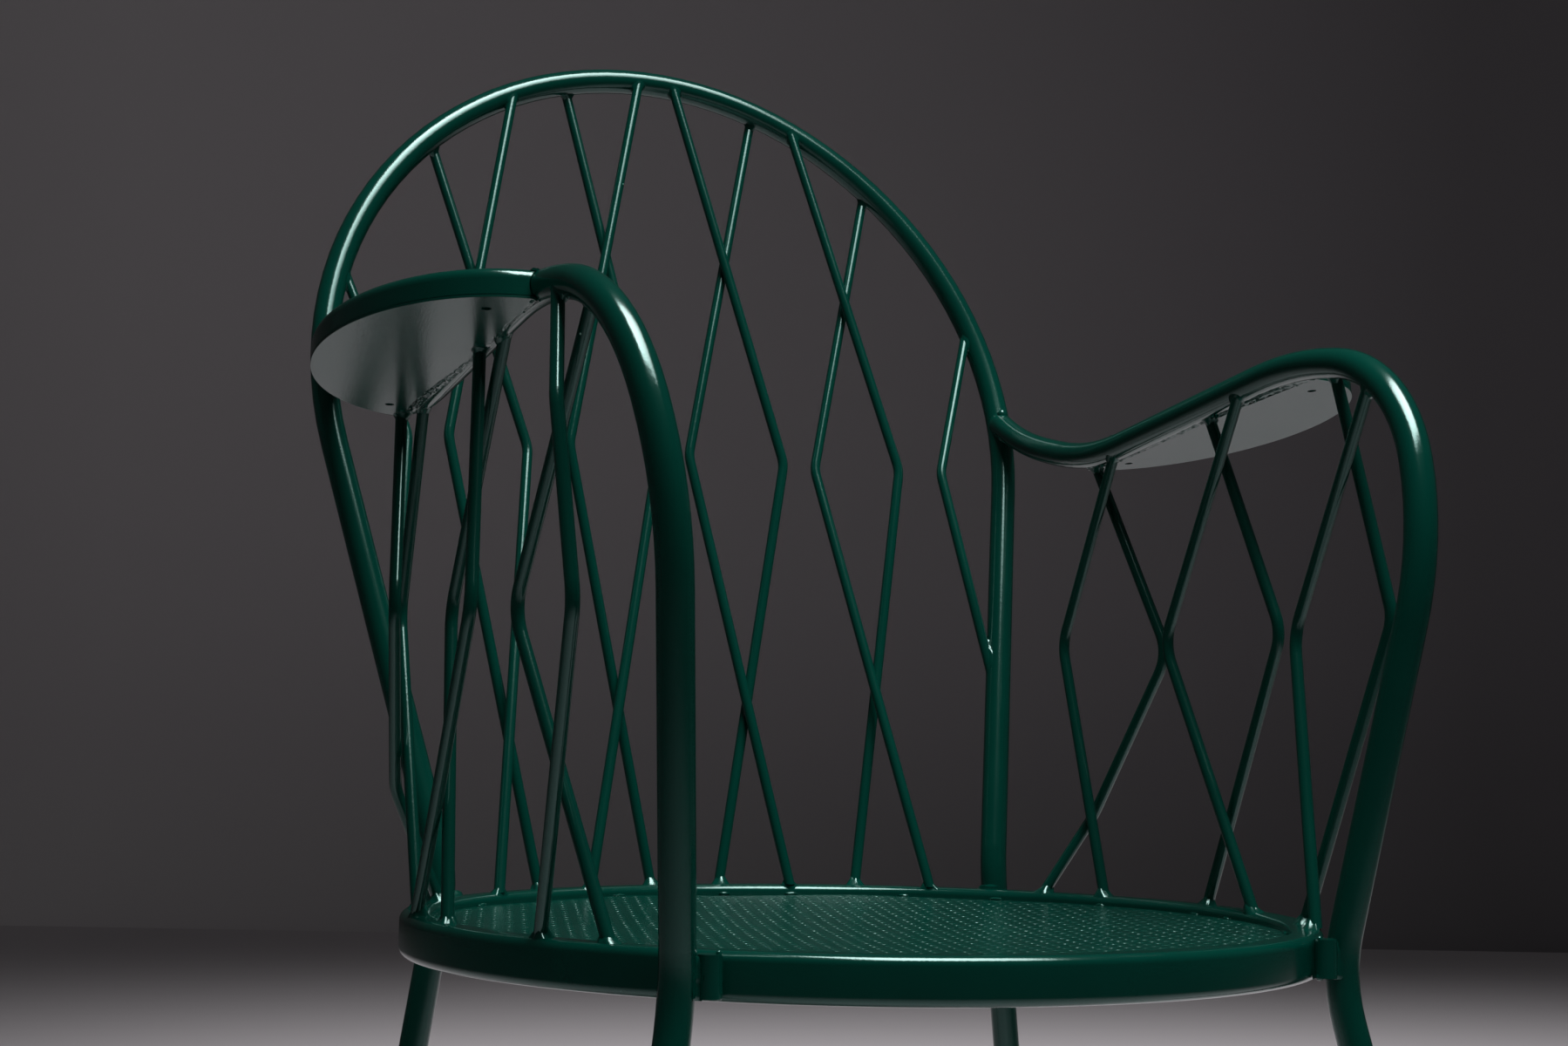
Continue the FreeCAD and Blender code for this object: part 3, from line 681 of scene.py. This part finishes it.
def saddle_weld(middle, radius, rng):
    """A short bead over the ring's top edge, round the near side of a tube that passes it.

    It runs one radian to either hand of the tube's nearest place to the seat,
    and a superellipse of power 8 tapers both ends.
    """
    reach = settings().weld.ring_reach
    out, along = level_axes(middle)
    share = np.linspace(-1.0, 1.0, 26)
    away = -np.cos(share)[:, None] * out + np.sin(share)[:, None] * along
    line = middle + radius * away
    line[:, 2] = RING_HIGH.z
    taper = np.sqrt(1 - share**8)
    upright = np.tile(UP, (len(share), 1))
    lumpy = 0.2
    legs = [reach * taper * (1 + lumpy * lumps(len(share), rng)) for _ in range(2)]
    return fillet(line, away, upright, *legs, depth=0.0006, carriers=("seat_ring",), closed=False)


def hoop_welds(rng):
    """Where the hoop passes the ring: filled grooves, a bead on top and a long drop on it.

    The drop's half axes run along the ring, outwards and up.
    """
    drop_sizes, drop_sunk, drop_inward = (0.0065, 0.0036, 0.0032), 0.0008, 1.15
    beads = []
    for outward in (-1.0, 1.0):
        hoop = tube_section("back_hoop", SEAT_MIDDLE.z, outward)
        out, along = level_axes(hoop[0])
        for hand in (-1.0, 1.0):
            clear_of = hoop[0] + hand * along
            beads.append(groove_weld(ring_outline(), hoop, clear_of, settings().weld.hoop_groove, rng))
        middle, radius = tube_section("back_hoop", RING_HIGH.z, outward)
        beads.append(saddle_weld(middle, radius, rng))
        spot = middle - drop_inward * radius * out
        spot[2] = RING_HIGH.z - drop_sunk
        axes = np.array(drop_sizes)[:, None] * np.stack([along, out, UP])
        beads.append(drop(spot, axes, rng))
    return beads


def spacer_welds(side, rng):
    """The filled grooves beside a leg spacer, with a small drop at its top and one at its foot.

    A drop has its height above that end and its radius.
    """
    weld = settings().weld
    inward, aside = 0.4, 0.0030
    top_drop, low_drop = (0.0002, 0.0013), (0.0006, 0.0017)
    low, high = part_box("leg_spacer_" + side)
    middle, radius = np.array((low + high) / 2), (high.x - low.x) / 2
    leg = tube_section("arm_tube_" + side, SEAT_MIDDLE.z, np.sign(middle[0]))
    beads = [
        groove_weld(ring_outline(), (middle, radius), leg[0], weld.bar_groove, rng),
        groove_weld((middle, radius), leg, np.array(SEAT_MIDDLE), weld.leg_groove, rng),
    ]
    out, along = level_axes(middle)
    along *= -np.sign(along @ (leg[0] - middle))
    for end, (above, size) in ((high.z, top_drop), (low.z, low_drop)):
        spot = middle - inward * radius * out + aside * along
        spot[2] = end + above
        beads.append(drop(spot, size * np.eye(3), rng))
    return beads


def sheet_tacks(rng):
    """Short lumpy tacks in the corner between the seat sheet's rim and the ring's inner wall."""
    shortest, longest, wide, tall, inset = 0.0022, 0.0048, 0.0013, 0.0012, 0.0004
    count = settings().weld.tack_count
    uneven = rng.uniform(-0.3, 0.3, count)
    turns = (np.arange(count) + uneven) * 2 * math.pi / count
    beads = []
    for turn in turns:
        out = np.array([math.sin(turn), math.cos(turn), 0.0])
        along = np.array([out[1], -out[0], 0.0])
        middle = np.array([SEAT_MIDDLE.x, SEAT_MIDDLE.y, SHEET_HIGH.z]) + (SHEET_RADIUS - inset) * out
        long = rng.uniform(shortest, longest)
        beads.append(drop(middle, np.stack([long * along, wide * out, tall * UP]), rng))
    return beads


def seam_lines(side):
    """The armrest's inner edges along the arm tube, below on its plate and above on its shell.

    Both faces are flat, with the plate's slope. Each line goes through the
    innermost corners in even stretches from front to back.
    """
    flat_within, inner_within = 0.0013, 0.007
    plate, shell = cad_points("armrest_plate_" + side), cad_points("armrest_shell_" + side)
    outward = np.sign(plate[:, 0].mean())
    slope = np.linalg.lstsq(np.column_stack([np.ones(len(plate)), plate[:, :2]]), plate[:, 2], rcond=None)[0]
    lines = []
    for spots, highest in ((plate, False), (shell, True)):
        rest = spots[:, 2] - slope[0] - spots[:, :2] @ slope[1:]
        face = rest.max() if highest else rest.min()
        flat = spots[np.abs(rest - face) < flat_within]
        reach = flat[:, 0] * outward
        inner = flat[reach < reach.min() + inner_within]
        inner = inner[np.argsort(inner[:, 1])]
        cuts = np.linspace(inner[0, 1], inner[-1, 1], 20)
        stretches = zip(cuts[:-1], cuts[1:])
        parts = [inner[(inner[:, 1] >= low) & (inner[:, 1] <= high)] for low, high in stretches]
        chosen = np.array([part[np.argmin(part[:, 0] * outward)] for part in parts if len(part)])
        back = np.linspace(cuts[0], cuts[-1], 150)
        across = np.interp(back, chosen[:, 1], chosen[:, 0])
        height = slope[0] + across * slope[1] + back * slope[2] + face
        lines.append(np.column_stack([across, back, height]))
    return lines


def armrest_seam(side, rng):
    """Crinkled ribbons of weld from both inner edges of an armrest to its arm tube.

    A point goes in a straight line from the edge to the nearest place on the
    tube, and swells by half a sine wave with random crinkles.
    """
    tucked, reach, above = 0.0014, 0.0026, 0.0010
    swell, settled, deep = 0.0004, 0.0001, 0.0007
    crinkle = settings().weld.crinkle
    share = np.linspace(0.0, 1.0, 7)[None, :, None]
    half_wave = np.sin(math.pi * share)
    beads = []
    for line, up in zip(seam_lines(side), (-UP, UP)):
        outward = np.array([np.sign(line[0, 0]), 0.0, 0.0])
        near = line + tucked * outward
        far = laid_on(line - reach * outward + above * up, ("arm_tube_" + side,))
        lane = near[:, None] * (1 - share) + far[:, None] * share
        rough = 2 * softened(rng.uniform(-1.0, 1.0, (len(line), 7, 1)))
        face = lane + (swell * half_wave + crinkle * rough * half_wave**0.5 - settled) * up
        back = lane[:, [-1, 0]] - deep * up
        grid = np.concatenate([face, back], axis=1)
        beads.append((grid.reshape(-1, 3), ring_faces(len(line), grid.shape[1], closed=False)))
    return beads


def dish_height(across):
    """Height of the sheet's top at a distance from its middle.

    A parabola from the bottom of the dish to the flat rim inside the ring.
    """
    seat = settings().seat
    sag = (SHEET_HIGH.z - SHEET_LOW.z) - seat.thickness
    return SHEET_HIGH.z - sag * np.clip(1 - (across / (SHEET_RADIUS - seat.flat_rim)) ** 2, 0.0, 1.0)


def hole_centres():
    """Rows of holes a row step apart, punched in pairs.

    Every other pair is moved along by half a hole step.
    """
    seat = settings().seat
    reach = SHEET_RADIUS - seat.hem - seat.hole_width / 2
    most = int(reach / min(seat.row_step, seat.hole_step)) + 2
    row, number = np.meshgrid(np.arange(-most, most + 1), np.arange(-most, most + 1), indexing="ij")
    along = (number + 0.5 * ((row + 1) // 2 % 2)) * seat.hole_step
    across = row * seat.row_step
    cos, sin = math.cos(seat.row_angle), math.sin(seat.row_angle)
    x = along * cos - across * sin
    y = along * sin + across * cos
    inside = np.hypot(x, y) < reach
    return np.stack([x[inside], y[inside]], axis=1)


def circle(radius, count):
    """Places in plan round a circle, in equal steps."""
    turn = np.linspace(0.0, 2 * math.pi, count, endpoint=False)
    return radius * np.stack([np.cos(turn), np.sin(turn)], axis=1)


def band(upper, lower):
    """Triangles between two closed rows of the same number of points."""
    next_upper, next_lower = np.roll(upper, -1, axis=-1), np.roll(lower, -1, axis=-1)
    one = np.stack([upper, lower, next_upper], axis=-1).reshape(-1, 3)
    two = np.stack([next_upper, lower, next_lower], axis=-1).reshape(-1, 3)
    return np.vstack([one, two])


def holed_disc(plan, rim, holes):
    """Triangles that fill the flat disc between its rim and its holes, all facing up.

    rim and holes are the numbers of the points along each closed border.
    """
    borders = [np.stack([row, np.roll(row, -1, axis=-1)], axis=-1).reshape(-1, 2) for row in (rim, holes)]
    made = delaunay_2d_cdt(plan, np.vstack(borders), [], 0, 1e-9, False)
    if len(made[0]) != len(plan):
        raise RuntimeError("the seat's holes cut into each other or its rim")
    faces = np.array(made[2])
    border = np.where(faces >= len(rim), (faces - len(rim)) // holes.shape[1], -1 - faces)
    filled = (border[:, 0] == border[:, 1]) & (border[:, 1] == border[:, 2])
    faces = faces[~filled]
    a, b, c = (plan[faces[:, corner]] for corner in range(3))
    turned = (b[:, 0] - a[:, 0]) * (c[:, 1] - a[:, 1]) < (b[:, 1] - a[:, 1]) * (c[:, 0] - a[:, 0])
    faces[turned] = faces[turned][:, ::-1]
    return faces


def lifted(plan, below):
    """Places in plan, put a distance below the dish's top.

    Towards the rear the outermost tenth dips in soft sine waves.
    """
    waves, shift, rear_from, outer_from = 9.0, 0.6, 0.35, 0.9
    across = np.hypot(plan[:, 0], plan[:, 1])
    rear = np.clip((plan[:, 1] / SHEET_RADIUS - rear_from) / (1 - rear_from), 0.0, 1.0)
    outer = np.clip((across / SHEET_RADIUS - outer_from) / (1 - outer_from), 0.0, 1.0)
    wave = 0.5 + 0.5 * np.sin(waves * np.arctan2(plan[:, 0], plan[:, 1]) + shift)
    height = dish_height(across) - settings().seat.wave * rear * outer * wave - below
    return np.column_stack([plan, height]) + [SEAT_MIDDLE.x, SEAT_MIDDLE.y, 0.0]


def dish_upward(plan):
    """Unit directions square to the dish at places in plan, from its slope there."""
    step = 0.0005
    around = np.hypot(plan[:, 0], plan[:, 1])[:, None]
    slope = (dish_height(around + step) - dish_height(around - step)) / (2 * step)
    upward = np.column_stack([-slope * plan / np.maximum(around, step), np.ones(len(around))])
    return upward / np.linalg.norm(upward, axis=1)[:, None]


def seat_sheet_mesh():
    """The perforated dish.

    The top is a flat triangulation of the disc with its holes left out, lifted
    to the dish's height. Each hole's edge is drawn down in a cone, a short
    cylinder joins it to the lower side, and the rim is closed by a band. The
    third result holds the shading direction at each face's corners, which
    turns from upright towards the hole over the cone.
    """
    seat = settings().seat
    sides = 10
    unit = circle(1.0, sides)
    edge = circle(SHEET_RADIUS, 180)
    centres = hole_centres()
    wide = (centres[:, None] + unit * (seat.hole_width / 2 + seat.lip_wide)).reshape(-1, 2)
    narrow = (centres[:, None] + unit * (seat.hole_width / 2)).reshape(-1, 2)
    top, bottom = np.vstack([edge, wide]), np.vstack([edge, narrow])
    points = np.vstack([lifted(top, 0.0), lifted(narrow, seat.lip_deep), lifted(bottom, seat.thickness)])

    # The numbers of the points: on the top, the rim's and each hole's wide edge,
    # then each hole's drawn edge, and then the lower side in the top's order.
    rim = np.arange(len(edge))
    hole = np.arange(len(wide)).reshape(-1, sides) + len(edge)
    drawn = hole + len(wide)
    low_at = len(top) + len(narrow)

    # Shading directions at all points: square to the dish, level, and between
    # the two on the cones.
    upward = dish_upward(np.vstack([top, narrow, bottom]))
    inward = -np.tile(unit, (len(centres), 1))
    sideways = np.vstack([edge / SHEET_RADIUS, inward, inward, edge / SHEET_RADIUS, inward])
    sideways = np.column_stack([sideways, np.zeros(len(sideways))])
    tilt = np.where(np.arange(len(points)) < len(top), seat.lip_start, seat.lip_end)[:, None]
    rolling = np.cos(tilt) * upward + np.sin(tilt) * sideways

    disc = holed_disc(top, rim, hole)
    parts = [
        (disc, upward),
        (disc[:, ::-1] + low_at, -upward),
        (band(hole, drawn)[:, ::-1], rolling),
        (band(drawn, hole + low_at)[:, ::-1], sideways),
        (band(rim, rim + low_at), sideways),
    ]
    corners = np.vstack([ways[faces] for faces, ways in parts])
    return points, np.vstack([faces for faces, _ in parts]), corners.reshape(-1, 3)


def seat_ring_mesh():
    """The seat ring: a rectangle with rounded corners, turned about the seat's middle.

    The section is a circle whose quarters are moved out into the four corners.
    """
    rounding = settings().seat.ring_round
    inner = SHEET_RADIUS + FIT_GAP
    middle = np.array([RING_RADIUS + inner, RING_HIGH.z + RING_LOW.z]) / 2
    half = np.array([RING_RADIUS - inner, RING_HIGH.z - RING_LOW.z]) / 2
    corner = np.array([[1, 1], [-1, 1], [-1, -1], [1, -1]])[:, None]
    turn = np.linspace(0.0, math.pi / 2, 10) + np.arange(4)[:, None] * math.pi / 2
    quarters = rounding * np.stack([np.cos(turn), np.sin(turn)], axis=-1)
    across, height = (middle + corner * (half - rounding) + quarters).reshape(-1, 2).T
    plan = circle(1.0, 360)[:, None] * across[:, None]
    points = np.concatenate([plan, np.broadcast_to(height[:, None], (*plan.shape[:2], 1))], axis=-1)
    points += [SEAT_MIDDLE.x, SEAT_MIDDLE.y, 0.0]
    return points.reshape(-1, 3), ring_faces(len(plan), len(across))


class ARMCHAIR_OT_arms(bpy.types.Operator):
    """Bends the arm tubes to their sag before the hoop"""

    bl_idname = "armchair.arms"
    bl_label = "Arm Tubes"

    def execute(self, context):
        raised_arm("left")
        raised_arm("right")
        return {"FINISHED"}


class ARMCHAIR_OT_enamel(bpy.types.Operator):
    """Paints the hoop, rods and armrests, and finishes the glides"""

    bl_idname = "armchair.enamel"
    bl_label = "Paint Frame"

    def execute(self, context):
        for name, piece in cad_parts.items():
            if name.startswith("glide"):
                dress(piece, glide_plastic())
            elif name.startswith("armrest_plate"):
                dress(piece, thin_paint())
            else:
                dress(piece, enamel_paint())
        return {"FINISHED"}


class ARMCHAIR_OT_seat(bpy.types.Operator):
    """Builds the perforated seat sheet and the ring round it"""

    bl_idname = "armchair.seat"
    bl_label = "Seat Sheet"

    def execute(self, context):
        points, faces, corners = seat_sheet_mesh()
        piece = put_mesh("perforated_seat", points, faces)
        piece.data.normals_split_custom_set(corners)
        dress(piece, worn_paint())
        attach(piece, "root")
        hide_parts("seat_sheet")
        ring = put_mesh("seat_ring_bent", *seat_ring_mesh())
        dress(ring, enamel_paint())
        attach(ring, "root")
        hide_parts("seat_ring")
        return {"FINISHED"}


class ARMCHAIR_OT_welds(bpy.types.Operator):
    """Lays the weld beads, seams and tacks"""

    bl_idname = "armchair.welds"
    bl_label = "Weld Beads"

    def execute(self, context):
        rng = np.random.default_rng(settings().weld.seed)
        for name, beads in rod_welds(rng).items():
            weld_piece(name, beads)
        weld_piece("arm_tube_welds", arm_welds(rng))
        weld_piece("hoop_foot_welds", hoop_welds(rng))
        weld_piece("seat_tacks", sheet_tacks(rng))
        for side in ("left", "right"):
            weld_piece("armrest_seam_" + side, armrest_seam(side, rng))
            weld_piece("leg_spacer_welds_" + side, spacer_welds(side, rng))
        return {"FINISHED"}


class ARMCHAIR_OT_stage(bpy.types.Operator):
    """Sets the floor, the backdrop, the lamps and the camera"""

    bl_idname = "armchair.stage"
    bl_label = "Stage"

    def execute(self, context):
        stage = settings().stage
        scene = context.scene
        yaw = math.radians(CAMERA_YAW)
        ahead = Vector((math.sin(yaw), math.cos(yaw), 0.0))
        side = Vector((math.cos(yaw), -math.sin(yaw), 0.0))
        self.floor_and_backdrop(stage, np.array(ahead), np.array(side))
        self.room(scene, stage)
        square = self.lamp(scene, "overhead", stage.lamp_power, stage.lamp_spread)
        square.location = stage.lamp_place
        square.rotation_euler.x = stage.lamp_tilt
        square.data.size = stage.lamp_wide
        strip = self.lamp(scene, "strip", stage.strip_power, stage.strip_spread)
        strip.location = stage.strip_place.x * side + stage.strip_place.y * ahead
        strip.location.z = stage.strip_place.z
        strip.rotation_euler.z = -yaw
        strip.data.shape = "RECTANGLE"
        strip.data.size = stage.strip_long
        strip.data.size_y = stage.strip_wide
        self.camera(scene, side)
        scene.view_settings.view_transform = "Standard"
        return {"FINISHED"}

    def floor_and_backdrop(self, stage, ahead, side):
        """A floor that sweeps up into a backdrop far behind the chair.

        The sweep's section runs level, turns up through a quarter circle and
        goes on upright. It is carried sideways along the camera's own right.
        The floor is its first strip, and the backdrop all the others.
        """
        near, reach, bend, tall, half_wide = -5.0, 4.75, 0.5, 5.0, 7.0
        turn = np.linspace(0.0, math.pi / 2, 13)
        out = np.concatenate([[near], reach + bend * np.sin(turn), [reach + bend]])
        rise = np.concatenate([[0.0], bend * (1 - np.cos(turn)), [tall]])
        across = np.array([-half_wide, half_wide])
        points = out[:, None, None] * ahead + across[None, :, None] * side
        points[..., 2] = rise[:, None]
        points = points.reshape(-1, 3)
        low = np.arange(len(out) - 1) * 2
        faces = np.stack([low, low + 1, low + 3, low + 2], axis=1)
        flat = put_mesh("floor", points[:4], faces[:1])
        sweep = put_mesh("backdrop", points[2:], faces[:-1])
        dress(flat, floor_concrete(stage))
        dress(sweep, backdrop_with_painted_shade(stage, side))

    def room(self, scene, stage):
        """Even light for matt shading, and a dark room in what gloss reflects."""
        world = bpy.data.worlds.new("studio")
        world.use_nodes = True
        tree = world.node_tree
        tree.nodes.clear()
        path = node(tree, "ShaderNodeLightPath")
        seen = node(
            tree,
            "ShaderNodeMath",
            {0: path.outputs["Is Camera Ray"], 1: path.outputs["Is Glossy Ray"]},
            operation="MAXIMUM",
        )
        even = node(tree, "ShaderNodeBackground", {"Color": linear("#F2F2F2"), "Strength": stage.room})
        dark = node(tree, "ShaderNodeBackground", {"Color": linear("#2A282A"), "Strength": 1.0})
        mixed = node(
            tree,
            "ShaderNodeMixShader",
            {0: seen.outputs[0], 1: even.outputs[0], 2: dark.outputs[0]},
        )
        node(tree, "ShaderNodeOutputWorld", {"Surface": mixed.outputs[0]})
        scene.world = world

    def lamp(self, scene, name, watts, spread):
        """A soft lamp that faces straight down, with a grid that narrows its light."""
        light = bpy.data.lights.new(name, "AREA")
        light.energy = watts
        light.spread = spread
        lamp = bpy.data.objects.new(name, light)
        scene.collection.objects.link(lamp)
        return lamp

    def camera(self, scene, right):
        """The photograph's viewpoint, given from the middle of the seat ring's top."""
        data = bpy.data.cameras.new("photo_camera")
        data.sensor_width = 36.0
        data.lens = CAMERA_LENS
        camera = bpy.data.objects.new("photo_camera", data)
        yaw, pitch, roll = (math.radians(turn) for turn in (CAMERA_YAW, CAMERA_PITCH, CAMERA_ROLL))
        ahead = Vector((math.sin(yaw) * math.cos(pitch), math.cos(yaw) * math.cos(pitch), math.sin(pitch)))
        up = right.cross(ahead)
        turn = camera.matrix_world.to_3x3()
        turn.col[0] = right * math.cos(roll) + up * math.sin(roll)
        turn.col[1] = up * math.cos(roll) - right * math.sin(roll)
        turn.col[2] = -ahead
        camera.matrix_world = turn.to_4x4()
        camera.location = Vector((SEAT_MIDDLE.x, SEAT_MIDDLE.y, RING_HIGH.z)) + Vector(CAMERA_PLACE)
        scene.collection.objects.link(camera)
        scene.camera = camera


class ArmchairSettings(bpy.types.PropertyGroup):
    enamel: bpy.props.PointerProperty(type=EnamelSettings)
    arm: bpy.props.PointerProperty(type=ArmSettings)
    seat: bpy.props.PointerProperty(type=SeatSettings)
    weld: bpy.props.PointerProperty(type=WeldSettings)
    stage: bpy.props.PointerProperty(type=StageSettings)


OPERATORS = (
    ARMCHAIR_OT_arms,
    ARMCHAIR_OT_enamel,
    ARMCHAIR_OT_seat,
    ARMCHAIR_OT_welds,
    ARMCHAIR_OT_stage,
)


class ARMCHAIR_PT_panel(bpy.types.Panel):
    """Lists the chair's sizes and the steps that build it"""

    bl_idname = "ARMCHAIR_PT_panel"
    bl_label = "Garden Armchair"
    bl_space_type = "VIEW_3D"
    bl_region_type = "UI"
    bl_category = "Armchair"

    def draw(self, context):
        groups = settings()
        for part in ("enamel", "arm", "seat", "weld", "stage"):
            box = self.layout.box()
            group = getattr(groups, part)
            for name in group.__annotations__:
                box.prop(group, name)
        for operator in OPERATORS:
            self.layout.operator(operator.bl_idname)


CLASSES = (
    EnamelSettings,
    ArmSettings,
    SeatSettings,
    WeldSettings,
    StageSettings,
    ArmchairSettings,
    *OPERATORS,
    ARMCHAIR_PT_panel,
)


def register():
    for cls in CLASSES:
        bpy.utils.register_class(cls)
    bpy.types.Scene.armchair = bpy.props.PointerProperty(type=ArmchairSettings)


def unregister():
    del bpy.types.Scene.armchair
    for cls in reversed(CLASSES):
        bpy.utils.unregister_class(cls)


def main():
    register()
    bpy.ops.armchair.arms()
    bpy.ops.armchair.enamel()
    bpy.ops.armchair.seat()
    bpy.ops.armchair.welds()
    bpy.ops.armchair.stage()


if __name__ == "__main__":
    main()
